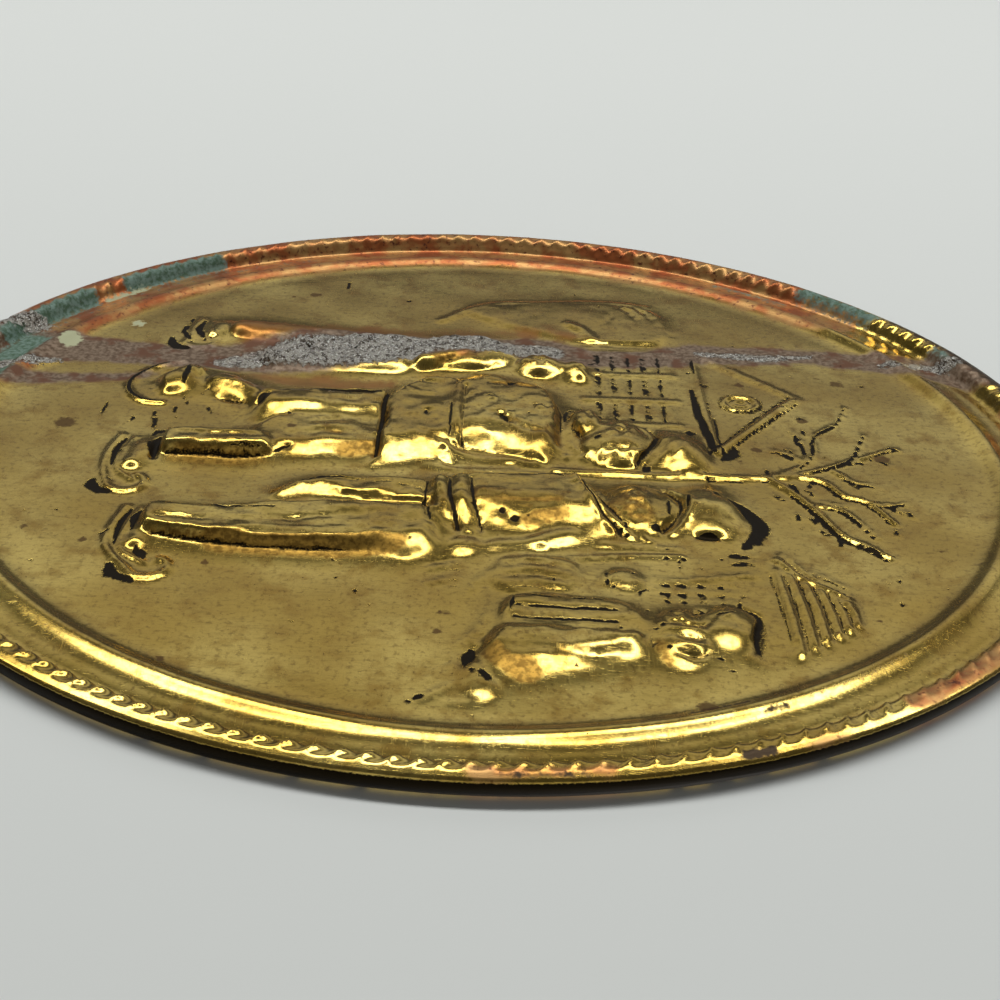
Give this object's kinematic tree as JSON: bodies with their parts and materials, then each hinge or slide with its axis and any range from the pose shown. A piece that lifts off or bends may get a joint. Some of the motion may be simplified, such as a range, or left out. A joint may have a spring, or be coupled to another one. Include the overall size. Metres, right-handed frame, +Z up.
{
  "type": "decorative wall plaque",
  "caption": "Round wall plaque pressed from thin brass sheet, with a rolled, notched rim around a skating scene in relief.",
  "frame": {"origin": "top of the flat ring that lies against the wall, on the wall's plane", "axes": "+Z up, +Y into the wall; the scene faces -Y and the plaque's centre hangs 145.5 mm below the origin"},
  "size_m": [0.3, 0.0071, 0.3],
  "materials": {
    "brass": "tarnished, stained and partly corroded, with a worn soft shine on the raised parts"
  },
  "bodies": {
    "root": {"embossed_plaque": "brass"}
  },
  "joints": []
}
